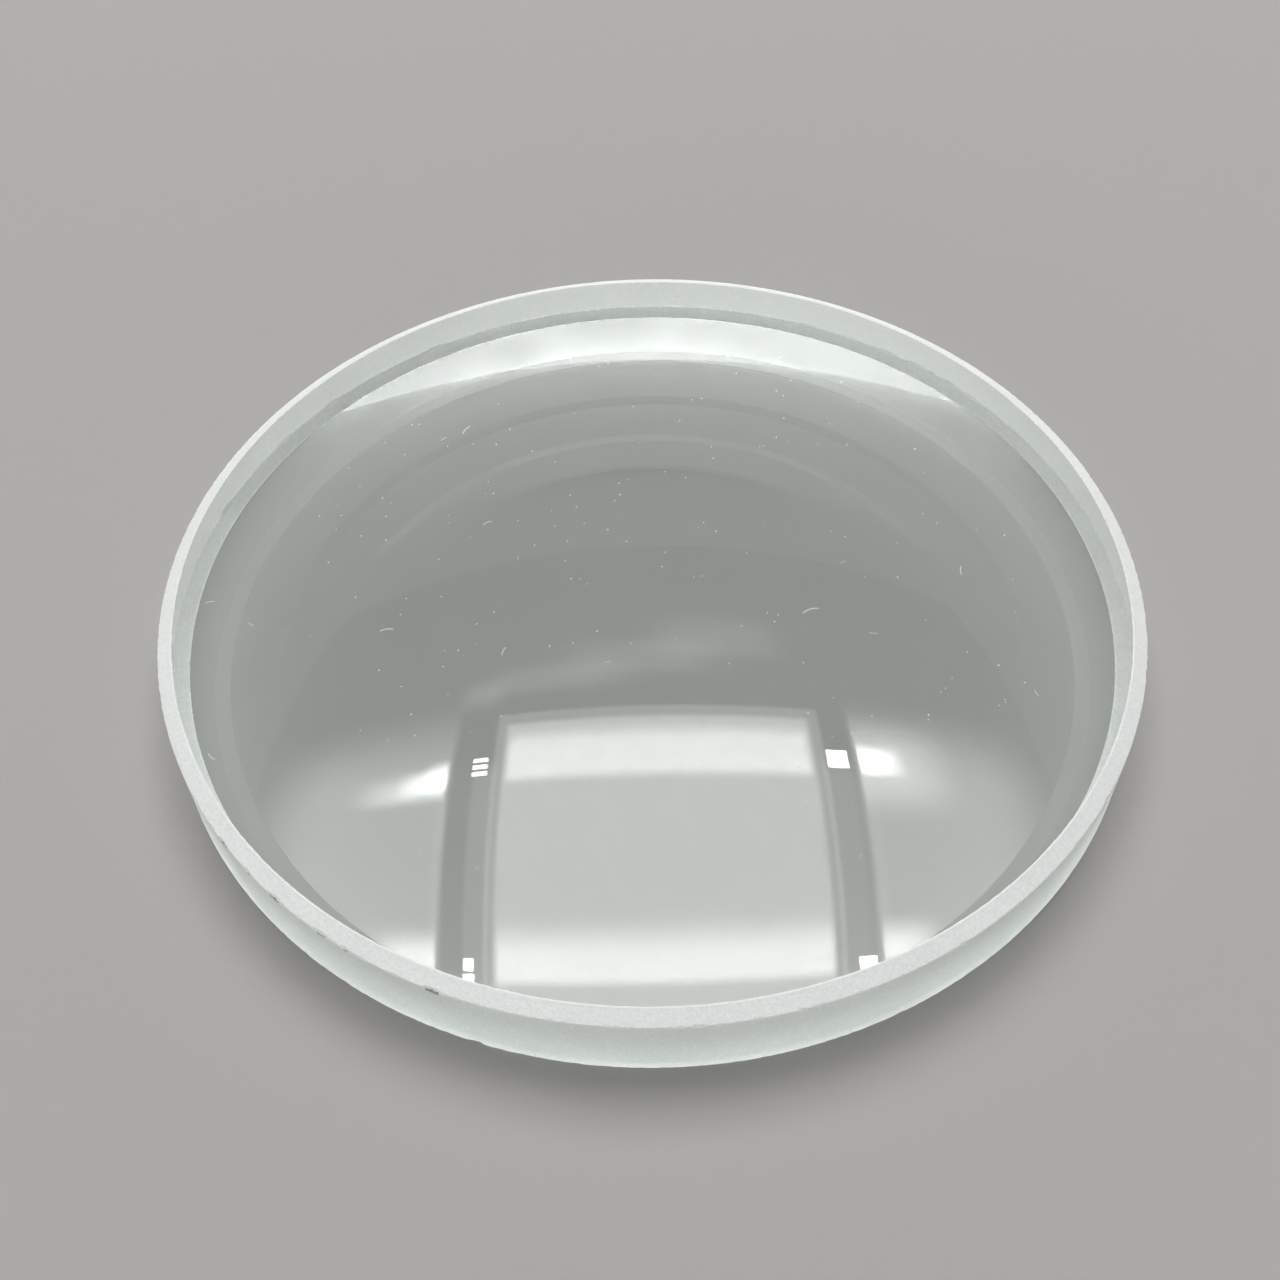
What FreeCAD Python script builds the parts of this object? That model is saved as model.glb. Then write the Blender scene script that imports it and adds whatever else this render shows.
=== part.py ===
import FreeCAD, Part
import math
import os
import Sketcher

# Biconcave lens
# One piece of crown glass, ground and polished. It lies flat, with +Z along the optical
# axis. The origin is on that axis, in the plane that the lower rim rests on.
# The half section is drawn in the XZ plane and turned once round the axis.

# Driving sizes in millimetres
SIZES = [
    ("LensDiameter", 100.0, "over the ground edge"),
    ("CentreThickness", 1.5, "glass left on the axis, between the two dishes"),
    ("UpperFaceRadius", 312.0, "radius of curvature of the upper dish"),
    ("LowerFaceRadius", 312.0, "radius of curvature of the lower dish"),
    ("UpperBevelWidth", 1.4, "upper ground land, measured along the radius"),
    ("UpperBevelDrop", 0.7, "fall of the upper land from its inner to its outer circle"),
    ("LowerBevelWidth", 1.4, "lower ground land, measured along the radius"),
    ("LowerBevelDrop", 0.7, "rise of the lower land from its inner to its outer circle"),
]

NODE = "lens"
SHEET = "Sizes"

# Points of a sketch's line or arc, in the order a sketch numbers them, from 1
START, END, CENTRE = range(1, 4)

# A sketch's own axes, in the order it numbers them, down from -1. Their start point is its origin
H_AXIS, V_AXIS = range(-1, -3, -1)

# The outline's edges, in the order they are drawn
AXIS_EDGE, UPPER_DISH, UPPER_LAND, GROUND_EDGE, LOWER_LAND, LOWER_DISH = range(6)


def add_sheet(doc):
    """Write each driving size to a cell and give the cell its name."""
    sheet = doc.addObject("Spreadsheet::Sheet", SHEET)
    for row, (alias, value, note) in enumerate(SIZES, start=1):
        sheet.set(f"A{row}", alias)
        sheet.set(f"B{row}", str(value))
        sheet.set(f"C{row}", note)
        sheet.setAlias(f"B{row}", alias)
    doc.recompute()
    return sheet


def dish_depth(face_radius, rim_radius):
    """Depth of a spherical dish of that curvature, from its rim circle to the axis."""
    return face_radius - math.sqrt(face_radius**2 - rim_radius**2)


def arc(centre_height, radius, first_angle, last_angle):
    """Arc about a point on the axis, between two angles measured from the sketch's X."""
    circle = Part.Circle(
        FreeCAD.Vector(0, centre_height, 0), FreeCAD.Vector(0, 0, 1), radius
    )
    return Part.ArcOfCircle(circle, first_angle, last_angle)


def line(start, end):
    """Straight edge between two points of the section plane."""
    return Part.LineSegment(FreeCAD.Vector(*start, 0), FreeCAD.Vector(*end, 0))


def origin_plane(body, role):
    """One of the body's own origin planes, found by its role."""
    return next(f for f in body.Origin.OriginFeatures if f.Role == role)


def draw_outline(sketch, sheet):
    """Draw the half section where its sizes put it: axis, dish, land, edge, land, dish."""
    outer = sheet.LensDiameter / 2
    upper_rim = outer - sheet.UpperBevelWidth
    lower_rim = outer - sheet.LowerBevelWidth
    lower_vertex = dish_depth(sheet.LowerFaceRadius, lower_rim)
    upper_vertex = lower_vertex + sheet.CentreThickness
    rim_height = upper_vertex + dish_depth(sheet.UpperFaceRadius, upper_rim)
    edge_top = rim_height - sheet.UpperBevelDrop
    edge_bottom = sheet.LowerBevelDrop
    upper_sweep = math.asin(upper_rim / sheet.UpperFaceRadius)
    lower_sweep = math.asin(lower_rim / sheet.LowerFaceRadius)
    down, up = -math.pi / 2, math.pi / 2
    sketch.addGeometry(
        [
            line((0, lower_vertex), (0, upper_vertex)),
            arc(
                upper_vertex + sheet.UpperFaceRadius,
                sheet.UpperFaceRadius,
                down,
                down + upper_sweep,
            ),
            line((upper_rim, rim_height), (outer, edge_top)),
            line((outer, edge_top), (outer, edge_bottom)),
            line((outer, edge_bottom), (lower_rim, 0)),
            arc(
                lower_vertex - sheet.LowerFaceRadius,
                sheet.LowerFaceRadius,
                up - lower_sweep,
                up,
            ),
        ],
        False,
    )


def close_outline(sketch):
    """Join each edge's end to the next edge's start, in the drawn order."""
    joints = [
        (AXIS_EDGE, END, UPPER_DISH, START),
        (UPPER_DISH, END, UPPER_LAND, START),
        (UPPER_LAND, END, GROUND_EDGE, START),
        (GROUND_EDGE, END, LOWER_LAND, START),
        (LOWER_LAND, END, LOWER_DISH, START),
        (LOWER_DISH, END, AXIS_EDGE, START),
    ]
    for joint in joints:
        sketch.addConstraint(Sketcher.Constraint("Coincident", *joint))


def place_outline(sketch):
    """Hold both vertices and both dish centres on the axis, and the lower rim at zero."""
    on_axis = [
        (AXIS_EDGE, START),
        (AXIS_EDGE, END),
        (UPPER_DISH, CENTRE),
        (LOWER_DISH, CENTRE),
    ]
    for edge, point in on_axis:
        sketch.addConstraint(Sketcher.Constraint("PointOnObject", edge, point, V_AXIS))
    sketch.addConstraint(
        Sketcher.Constraint("PointOnObject", LOWER_LAND, END, H_AXIS)
    )
    sketch.addConstraint(Sketcher.Constraint("Vertical", GROUND_EDGE))


def size_outline(sketch, sheet):
    """Give the section its sizes and tie each one to its cell of the sheet."""
    sizes = [
        ("LensDiameter", "DistanceX", (H_AXIS, START, GROUND_EDGE, START), 2),
        ("CentreThickness", "DistanceY", (AXIS_EDGE, START, AXIS_EDGE, END), 1),
        ("UpperFaceRadius", "Radius", (UPPER_DISH,), 1),
        ("LowerFaceRadius", "Radius", (LOWER_DISH,), 1),
        ("UpperBevelWidth", "DistanceX", (UPPER_LAND, START, UPPER_LAND, END), 1),
        ("UpperBevelDrop", "DistanceY", (UPPER_LAND, END, UPPER_LAND, START), 1),
        ("LowerBevelWidth", "DistanceX", (LOWER_LAND, END, LOWER_LAND, START), 1),
        ("LowerBevelDrop", "DistanceY", (LOWER_LAND, END, LOWER_LAND, START), 1),
    ]
    for cell, kind, points, divisor in sizes:
        value = getattr(sheet, cell) / divisor
        index = sketch.addConstraint(Sketcher.Constraint(kind, *points, value))
        sketch.renameConstraint(index, cell)
        sketch.setExpression(f"Constraints.{cell}", f"{SHEET}.{cell} / {divisor}")


def add_lens(doc, sheet):
    """The lens blank with both dishes, both lands and the edge, turned in one piece."""
    body = doc.addObject("PartDesign::Body", "LensBody")
    body.Label = NODE
    sketch = body.newObject("Sketcher::SketchObject", "HalfSection")
    sketch.AttachmentSupport = (origin_plane(body, "XZ_Plane"), [""])
    sketch.MapMode = "FlatFace"
    draw_outline(sketch, sheet)
    close_outline(sketch)
    place_outline(sketch)
    size_outline(sketch, sheet)
    doc.recompute()
    turned = body.newObject("PartDesign::Revolution", "TurnedLens")
    turned.Profile = sketch
    turned.ReferenceAxis = (sketch, ["V_Axis"])
    turned.Angle = 360
    sketch.Visibility = False
    return body


def check_document(doc, parts):
    """Stop if any object failed to build or a sub-part has no valid solid."""
    for item in doc.Objects:
        failed = {"Invalid", "Error"} & set(item.State)
        if failed:
            raise RuntimeError(f"{item.Name} did not build: {sorted(failed)}")
    for part in parts:
        if part.Shape.isNull() or not part.Shape.isValid():
            raise RuntimeError(f"{part.Label} has no valid shape")


def report_sizes(body, sheet):
    """Print the sizes that follow from the driving ones."""
    box = body.Shape.BoundBox
    edge = box.ZLength - sheet.UpperBevelDrop - sheet.LowerBevelDrop
    print(f"rim height {box.ZLength:.3f} mm, ground edge {edge:.3f} mm")
    print(f"volume {body.Shape.Volume / 1000:.2f} cubic centimetres")


doc = FreeCAD.newDocument("BiconcaveLens")
sheet = add_sheet(doc)
lens = add_lens(doc, sheet)
doc.recompute()
check_document(doc, [lens])
report_sizes(lens, sheet)
os.makedirs("parts", exist_ok=True)
lens.Shape.exportStep(f"parts/{lens.Label}.step")
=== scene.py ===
"""The looks of a biconcave lens: ground and polished glass on a pale studio floor.

The lens is one closed mesh. Geometry nodes turn its half section round the optical axis, in
bands that share their edge circles, and bite the rim chips out of the two outer corners.
Lengths are in metres unless a name or docstring says otherwise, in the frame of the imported
model.
"""
import logging
import math
import random
from dataclasses import dataclass, field
from enum import Enum
from typing import Sequence, Union

import bpy
from mathutils import Matrix, Vector


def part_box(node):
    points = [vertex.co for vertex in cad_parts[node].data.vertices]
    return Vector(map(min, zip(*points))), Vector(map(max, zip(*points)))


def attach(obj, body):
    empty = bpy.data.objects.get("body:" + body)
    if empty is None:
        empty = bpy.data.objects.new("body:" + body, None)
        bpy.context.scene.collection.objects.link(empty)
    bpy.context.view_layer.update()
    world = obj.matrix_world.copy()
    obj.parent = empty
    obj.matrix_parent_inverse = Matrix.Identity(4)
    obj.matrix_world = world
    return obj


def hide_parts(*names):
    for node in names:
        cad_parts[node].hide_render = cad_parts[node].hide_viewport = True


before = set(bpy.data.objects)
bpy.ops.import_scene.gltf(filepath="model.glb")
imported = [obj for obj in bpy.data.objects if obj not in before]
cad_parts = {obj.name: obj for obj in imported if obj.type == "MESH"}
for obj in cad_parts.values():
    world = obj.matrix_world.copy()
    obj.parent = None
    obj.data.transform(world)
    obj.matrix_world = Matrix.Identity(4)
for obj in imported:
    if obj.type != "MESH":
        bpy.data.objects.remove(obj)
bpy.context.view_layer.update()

MM = 0.001
NODE = "lens"
BODY = "root"
CROWN_GLASS_IOR = 1.52
GRID_SIDE = 1.0
MEAN_NOISE = 0.5

log = logging.getLogger("lens_scene")

Colour = tuple[float, float, float, float]
Pair = tuple[float, float]
Triple = tuple[float, float, float]
Sizes = dict[str, Union[float, int]]
Object = bpy.types.Object
Material = bpy.types.Material
Tree = bpy.types.NodeTree
Socket = bpy.types.NodeSocket
Feed = Union[Socket, float, int, str, bool, Sequence[float], bpy.types.ID]
Feeds = dict[Union[str, int], Feed]
Point = tuple[Feed, Feed]
Outputs = bpy.types.bpy_prop_collection


class Zone(Enum):
    """How each band of the lens is finished, as the number that its faces carry."""

    POLISHED = 0
    EDGE = 1
    LAND = 2
    # Chip facets beside the upper edge, coloured dark as painted shade.
    CHIP_SHADE = 3


class Rim(Enum):
    """The two outer corners of the ground edge, where chips break away."""

    UPPER = "upper"
    LOWER = "lower"


class Graph:
    """Writes a node tree: places nodes, sets or links their inputs, and makes named sockets."""

    def __init__(self, tree: Tree) -> None:
        """Keep the tree to write in."""
        self.tree = tree

    def place(self, kind: str, feeds: Feeds | None = None, **settings: object) -> bpy.types.Node:
        """Add a node.

        Args:
            kind: the node's type name.
            feeds: values or sockets for its inputs, by name or position.
            settings: properties of the node itself.

        Returns:
            The new node.
        """
        node = self.tree.nodes.new(kind)
        for name, value in settings.items():
            setattr(node, name, value)
        for key, value in (feeds or {}).items():
            self.feed(node.inputs[key], value)
        return node

    def result(self, kind: str, feeds: Feeds | None = None, **settings: object) -> Socket:
        """Add a node and give its first output."""
        return self.place(kind, feeds, **settings).outputs[0]

    def feed(self, target: Socket, value: Feed) -> None:
        """Link a socket into an input, or set the input's plain value.

        Args:
            target: the input.
            value: an output socket or a plain value.
        """
        if isinstance(value, Socket):
            self.tree.links.new(value, target)
        else:
            target.default_value = value

    def socket(self, name: str, kind: str, into: bool = True, value: Feed | None = None) -> None:
        """Give the tree a named input or output.

        Args:
            name: the socket's name.
            kind: its type, such as NodeSocketFloat.
            into: True for an input.
            value: the input's usual value.
        """
        way = "INPUT" if into else "OUTPUT"
        made = self.tree.interface.new_socket(name=name, in_out=way, socket_type=kind)
        if value is not None:
            made.default_value = value

    def math(self, operation: str, *operands: Feed) -> Socket:
        """One step of arithmetic."""
        return self.result("ShaderNodeMath", dict(enumerate(operands)), operation=operation)

    def plus(self, first: Feed, second: Feed) -> Socket:
        """The sum of two values."""
        return self.math("ADD", first, second)

    def less(self, first: Feed, second: Feed) -> Socket:
        """The first value less the second."""
        return self.math("SUBTRACT", first, second)

    def over(self, first: Feed, second: Feed) -> Socket:
        """The first value divided by the second."""
        return self.math("DIVIDE", first, second)

    def root(self, value: Feed) -> Socket:
        """The square root."""
        return self.math("SQRT", value)

    def times(self, product: Feed, *factors: Feed) -> Socket:
        """The product of some values, multiplied in order.

        Args:
            product: the first value.
            factors: the others.

        Returns:
            The product.
        """
        for factor in factors:
            product = self.math("MULTIPLY", product, factor)
        return product

    def vector(self, x: Feed, y: Feed, z: Feed) -> Socket:
        """Join three numbers into a vector."""
        return self.result("ShaderNodeCombineXYZ", {"X": x, "Y": y, "Z": z})

    def parts(self, vector: Socket) -> Outputs:
        """Split a vector into its X, Y and Z."""
        return self.place("ShaderNodeSeparateXYZ", {"Vector": vector}).outputs

    def vector_math(self, operation: str, first: Feed, second: Feed, output: str) -> Socket:
        """One step of vector arithmetic, whose output is Vector or Value."""
        feeds = {0: first, 1: second}
        return self.place("ShaderNodeVectorMath", feeds, operation=operation).outputs[output]

    def scaled(self, vector: Feed, scale: Feed) -> Socket:
        """A vector made longer or shorter."""
        return self.result("ShaderNodeVectorMath", {0: vector, "Scale": scale}, operation="SCALE")

    def mapped(self, value: Feed, given: Pair, wanted: Pair = (0.0, 1.0), **how: str) -> Socket:
        """Carry a value from one range to another, held at both ends."""
        names = ("Value", "From Min", "From Max", "To Min", "To Max")
        return self.result("ShaderNodeMapRange", dict(zip(names, (value, *given, *wanted))), **how)

    def noise(self, place: Feed, pitch: Feed, detail: float, roughness: float = 0.5) -> Socket:
        """Fractal noise with lumps of a given pitch, MEAN_NOISE on average."""
        feeds = {"Vector": place, "Detail": detail, "Roughness": roughness}
        return self.result("ShaderNodeTexNoise", feeds | {"Scale": self.over(1.0, pitch)})

    def colour_mix(self, share: Feed, first: Feed, second: Feed) -> Socket:
        """Mix two colours by a share."""
        feeds = {0: share, 6: first, 7: second}
        return self.place("ShaderNodeMix", feeds, data_type="RGBA").outputs[2]

    def shader_mix(self, share: Feed, first: Socket, second: Socket) -> Socket:
        """Mix two shaders by a share."""
        return self.result("ShaderNodeMixShader", {0: share, 1: first, 2: second})

    def carried(self, name: str, kind: str = "FLOAT") -> Socket:
        """A number that the geometry carries under a name."""
        return self.result("GeometryNodeInputNamedAttribute", {"Name": name}, data_type=kind)


def added(name: str, data: bpy.types.ID) -> Object:
    """Make an object of some data and put it in the scene.

    Args:
        name: the object's name.
        data: its mesh, light or camera.

    Returns:
        The object.
    """
    made = bpy.data.objects.new(name, data)
    bpy.context.scene.collection.objects.link(made)
    return made


def flat_square(name: str, reach: float, level: float, material: Material) -> Object:
    """A square that faces up.

    Args:
        name: its name.
        reach: half its side.
        level: its height.
        material: its material.

    Returns:
        Its object.
    """
    mesh = bpy.data.meshes.new(name)
    corners = ((-1, -1), (1, -1), (1, 1), (-1, 1))
    mesh.from_pydata([(x * reach, y * reach, level) for x, y in corners], [], [(0, 1, 2, 3)])
    mesh.materials.append(material)
    return added(name, mesh)


def loose_marks(
    name: str, places: Sequence[Sequence[float]], carried: dict[str, list[float]]
) -> Object:
    """Loose vertices for a node tree to read, each with the numbers it carries.

    Args:
        name: the object's name.
        places: where the vertices are.
        carried: the numbers, by name.

    Returns:
        The object that holds them.
    """
    mesh = bpy.data.meshes.new(name)
    mesh.from_pydata(places, [], [])
    for label, values in carried.items():
        mesh.attributes.new(label, "FLOAT", "POINT").data.foreach_set("value", values)
    return added(name, mesh)


def geometry_tree(name: str, sizes: Sizes) -> tuple[Graph, Outputs]:
    """Start a geometry node tree that takes marks and named sizes.

    Args:
        name: the tree's name.
        sizes: its inputs' usual values by name, whole numbers for counts.

    Returns:
        The tree's writer and what its inputs give.
    """
    graph = Graph(bpy.data.node_groups.new(name, "GeometryNodeTree"))
    graph.socket("Geometry", "NodeSocketGeometry")
    for label, value in sizes.items():
        kind = "NodeSocketInt" if isinstance(value, int) else "NodeSocketFloat"
        graph.socket(label, kind, value=value)
    graph.socket("Geometry", "NodeSocketGeometry", into=False)
    return graph, graph.place("NodeGroupInput").outputs


def grown_piece(name: str, marks: Object, tree: Tree, sizes: Sizes) -> Object:
    """Run a tree on its marks and keep what it makes as a plain mesh at the origin.

    Args:
        name: the new piece's name.
        marks: the loose vertices that the tree reads, which are removed.
        tree: the geometry node tree.
        sizes: values for its named inputs.

    Returns:
        The new piece.
    """
    modifier = marks.modifiers.new("grow", "NODES")
    modifier.node_group = tree
    for item in tree.interface.items_tree:
        if item.in_out == "INPUT" and item.name in sizes:
            modifier[item.identifier] = sizes[item.name]
    evaluated = bpy.context.evaluated_depsgraph_get()
    mesh = bpy.data.meshes.new_from_object(marks.evaluated_get(evaluated), depsgraph=evaluated)
    mesh.name = name
    bpy.data.objects.remove(marks)
    log.info("%s: %d faces", name, len(mesh.polygons))
    return added(name, mesh)


def below_rim(graph: Graph, given: Outputs, radius: Socket) -> Socket:
    """How far a dish lies below its rim circle.

    Args:
        graph: the writer of a tree with Face Radius and Dish Depth as inputs.
        given: what its inputs give.
        radius: distance from the axis.

    Returns:
        The depth there.
    """
    curve = given["Face Radius"]
    squared = graph.times(radius, radius)
    height = graph.root(graph.less(graph.times(curve, curve), squared))
    risen = graph.over(squared, graph.plus(curve, height))
    return graph.less(given["Dish Depth"], risen)


@dataclass(frozen=True)
class LensForm:
    """Sizes of the lens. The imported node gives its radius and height, the rest are named here."""

    radius: float
    rim_height: float
    land_width: float = 1.4 * MM
    land_drop: float = 0.7 * MM
    centre_thickness: float = 1.5 * MM

    @classmethod
    def from_frame(cls) -> "LensForm":
        """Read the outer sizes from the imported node."""
        low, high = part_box(NODE)
        return cls(radius=(high.x - low.x) / 2, rim_height=high.z - low.z)

    @property
    def rim_radius(self) -> float:
        """Radius of the circle where a dish meets its ground land."""
        return self.radius - self.land_width

    @property
    def dish_depth(self) -> float:
        """Depth of each dish below its rim circle."""
        return (self.rim_height - self.centre_thickness) / 2

    @property
    def face_radius(self) -> float:
        """Radius of curvature of both dishes."""
        return (self.rim_radius**2 + self.dish_depth**2) / (2 * self.dish_depth)

    def dish_height(self, radius: float) -> float:
        """Height of the upper dish at a distance from the axis."""
        risen = self.face_radius - math.sqrt(self.face_radius**2 - radius**2)
        return self.rim_height - self.dish_depth + risen

    def on_rim(self, angle_deg: float, rim: Rim) -> Triple:
        """A point on an outer corner circle.

        Args:
            angle_deg: its angle from +X.
            rim: which corner.

        Returns:
            The point.
        """
        turn = math.radians(angle_deg)
        height = self.rim_height - self.land_drop if rim is Rim.UPPER else self.land_drop
        return self.radius * math.cos(turn), self.radius * math.sin(turn), height


@dataclass(frozen=True)
class RimChip:
    """A flake lost from an outer corner: where it was, half its length, and its depth."""

    angle_deg: float
    half_length: float
    depth: float
    rim: Rim

    def clear_of(self, other: "RimChip", radius: float) -> bool:
        """Tell whether two chips share no stretch of a corner.

        Args:
            other: the other chip.
            radius: the corner's radius.

        Returns:
            True if they are on different corners, or lie clear of each other on one.
        """
        turn = abs((self.angle_deg - other.angle_deg + 180) % 360 - 180)
        gap = math.radians(turn) * radius
        return self.rim is not other.rim or gap > self.half_length + other.half_length


def chips_of(rim: Rim, *rows: Triple) -> list[RimChip]:
    """Chips of one corner, by their angles in degrees, half lengths and depths in millimetres."""
    return [RimChip(angle, half * MM, depth * MM, rim) for angle, half, depth in rows]


@dataclass(frozen=True)
class ChipPlan:
    """The chips that show in the photograph, and the seeded small ones between them."""

    seed: int = 11
    small_count: int = 60
    small_half_length: Pair = (0.15 * MM, 0.50 * MM)
    small_depth: Pair = (0.03 * MM, 0.11 * MM)
    shown: tuple[RimChip, ...] = (
        *chips_of(
            Rim.UPPER,
            (247.3, 0.85, 0.34), (237.4, 0.30, 0.22), (234.3, 0.80, 0.24), (227.6, 0.70, 0.26),
            (223.4, 0.45, 0.20), (218.6, 0.75, 0.28), (212.2, 0.90, 0.15), (206.4, 1.00, 0.15),
            (273.6, 0.35, 0.15), (283.3, 0.45, 0.15), (325.0, 0.60, 0.13), (343.4, 0.80, 0.15),
            (350.8, 1.10, 0.14),
        ),
        *chips_of(
            Rim.LOWER,
            (58.5, 1.00, 0.24), (53.0, 1.20, 0.30), (48.2, 1.20, 0.42), (45.4, 0.50, 0.30),
            (42.3, 1.30, 0.34), (38.4, 1.10, 0.24), (66.0, 1.20, 0.16), (162.0, 1.60, 0.30),
            (148.5, 1.20, 0.26), (139.0, 1.50, 0.24), (121.5, 1.20, 0.28), (251.0, 0.70, 0.30),
        ),
    )

    def all_chips(self, form: LensForm) -> list[RimChip]:
        """The shown chips, and small ones where no other lies.

        Args:
            form: the lens's sizes, which turn a length into an angle.

        Returns:
            Every chip of both corners.
        """
        draw = random.Random(self.seed)
        chips = list(self.shown)
        for rim in Rim:
            for _ in range(self.small_count):
                chip = RimChip(
                    draw.uniform(0, 360),
                    draw.uniform(*self.small_half_length),
                    draw.uniform(*self.small_depth),
                    rim,
                )
                if all(chip.clear_of(other, form.radius) for other in chips):
                    chips.append(chip)
        return chips


@dataclass
class LensBlank:
    """The lens itself: both dishes, both lands, the ground edge and the chips, as one solid.

    Land reach, chip fall and scoop are shares of how far a corner is broken back. The chip shade, a
    band of a chip's facet given the dark chip colour as painted shade, begins at chip shade start, a
    share of the way from land to edge, less chip shade growth times the flake.
    """

    form: LensForm
    chips: list[RimChip]
    finishes: dict[Zone, Material]
    columns: int = 1260
    dish_rows: int = 21
    land_rows: int = 3
    chip_rows: int = 5
    edge_rows: int = 6
    arris: float = 0.02 * MM
    inner_arris: float = 0.16 * MM
    inner_pitch: float = 0.375 * MM
    inner_detail: float = 2.0
    fray: float = 0.75 * MM
    lower_fray_share: float = 0.55
    fray_pitch: float = 0.6 * MM
    fray_detail: float = 3.0
    fray_start: float = 0.42
    chip_shade_growth: float = 2.4 / MM
    chip_shade_start: float = 1.30
    land_reach: float = 0.6
    chip_fall: float = 1.3
    scoop: float = 0.12
    weld: float = 0.0002 * MM
    crease_deg: float = 17.0
    zone_name: str = "zone"
    zone_slack: float = 0.5
    bow_peak: float = 4.0
    graph: Graph = field(init=False)
    given: Outputs = field(init=False)
    cosine: Socket = field(init=False)
    sine: Socket = field(init=False)
    along: Socket = field(init=False)

    def __post_init__(self) -> None:
        """Start the tree, and the fields that every band reads from its flat grid."""
        self.graph, self.given = geometry_tree("turned_lens", self.sizes())
        graph = self.graph
        split = graph.parts(graph.result("GeometryNodeInputPosition"))
        angle = graph.times(graph.plus(split["X"], GRID_SIDE / 2), math.tau)
        self.cosine = graph.math("COSINE", angle)
        self.sine = graph.math("SINE", angle)
        self.along = graph.plus(split["Y"], GRID_SIDE / 2)

    def sizes(self) -> Sizes:
        """The tree's inputs and the sizes that this lens gives them."""
        form = self.form
        return {
            "Radius": form.radius,
            "Rim Height": form.rim_height,
            "Land Width": form.land_width,
            "Land Drop": form.land_drop,
            "Dish Depth": form.dish_depth,
            "Face Radius": form.face_radius,
            "Arris": self.arris,
            "Inner Arris": self.inner_arris,
            "Inner Pitch": self.inner_pitch,
            "Fray": self.fray,
            "Fray Pitch": self.fray_pitch,
            "Land Reach": self.land_reach,
            "Chip Fall": self.chip_fall,
            "Scoop": self.scoop,
        }

    def build(self) -> Object:
        """Make the mesh with geometry nodes and leave a plain closed mesh.

        Returns:
            The lens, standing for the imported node.
        """
        places = [self.form.on_rim(chip.angle_deg, chip.rim) for chip in self.chips]
        carried = {
            "half_length": [chip.half_length for chip in self.chips],
            "depth": [chip.depth for chip in self.chips],
        }
        marks = loose_marks("chip_marks", places, carried)
        self.close(self.bands())
        piece = grown_piece("lens_glass", marks, self.graph.tree, self.sizes())
        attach(piece, BODY)
        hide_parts(NODE)
        return piece

    def bands(self) -> list[Socket]:
        """Turn the section, from the middle of the upper dish to the middle of the lower one.

        Returns:
            The bands, each of which ends where the next one starts.
        """
        graph, given = self.graph, self.given
        height, drop = given["Rim Height"], given["Land Drop"]
        upper_corner = graph.less(height, drop)
        upper_bite, upper_flake = self.bite(upper_corner, 1.0)
        lower_bite, _ = self.bite(drop, self.lower_fray_share)
        upper_land, upper_edge = self.corner(upper_corner, upper_bite, up=1)
        lower_land, lower_edge = self.corner(drop, lower_bite, up=-1)
        rim_radius = graph.less(given["Radius"], given["Land Width"])
        upper_rim = (rim_radius, height)
        lower_rim = (rim_radius, 0.0)
        radius = self.polished_radius(rim_radius)
        sunk = below_rim(graph, given, radius)
        upper_polished = (radius, graph.less(height, sunk))
        lower_polished = (radius, sunk)
        # Faces near the upper edge in each flake take the dark chip finish, a painted shade.
        painted_chip_shade = self.chip_zone(upper_flake)
        upper_bow = self.bow(upper_bite, -1)
        lower_bow = self.bow(lower_bite, 1)
        land, edge = Zone.LAND.value, Zone.EDGE.value
        return [
            self.dish(radius, self.along, upper=True),
            self.band(upper_polished, upper_rim, 1, land),
            self.band(upper_rim, upper_land, self.land_rows, land),
            self.band(upper_land, upper_edge, self.chip_rows, painted_chip_shade, upper_bow),
            self.band(upper_edge, lower_edge, self.edge_rows, edge),
            self.band(lower_edge, lower_land, self.chip_rows, land, lower_bow),
            self.band(lower_land, lower_rim, self.land_rows, land),
            self.band(lower_rim, lower_polished, 1, land),
            self.dish(radius, graph.less(1.0, self.along), upper=False),
        ]

    def close(self, bands: list[Socket]) -> None:
        """Weld the bands into one solid, crease and dress it, and give it to the tree's output.

        Args:
            bands: the bands in any order.
        """
        graph = self.graph
        joined = graph.place("GeometryNodeJoinGeometry")
        for band in bands:
            graph.tree.links.new(band, joined.inputs[0])
        welding = {"Geometry": joined.outputs[0], "Distance": self.weld}
        welded = graph.result("GeometryNodeMergeByDistance", welding)
        outward = graph.result("GeometryNodeFlipFaces", {"Mesh": welded})
        smooth = graph.result("GeometryNodeSetShadeSmooth", {"Geometry": outward})
        bend = graph.result("GeometryNodeInputMeshEdgeAngle")
        sharp = graph.math("GREATER_THAN", bend, math.radians(self.crease_deg))
        creasing = {"Geometry": smooth, "Selection": sharp, "Shade Smooth": False}
        creased = graph.result("GeometryNodeSetShadeSmooth", creasing, domain="EDGE")
        body = graph.result("GeometryNodeRealizeInstances", {"Geometry": creased})
        for zone, material in self.finishes.items():
            carried = graph.carried(self.zone_name, "INT")
            chosen = graph.math("COMPARE", carried, zone.value, self.zone_slack)
            dressing = {"Geometry": body, "Selection": chosen, "Material": material}
            body = graph.result("GeometryNodeSetMaterial", dressing)
        graph.place("NodeGroupOutput", {"Geometry": body})

    def on_circle(self, radius: Feed, height: Feed) -> Socket:
        """The point at a radius and a height, at each turn."""
        graph = self.graph
        return graph.vector(
            graph.times(radius, self.cosine), graph.times(radius, self.sine), height
        )

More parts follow.
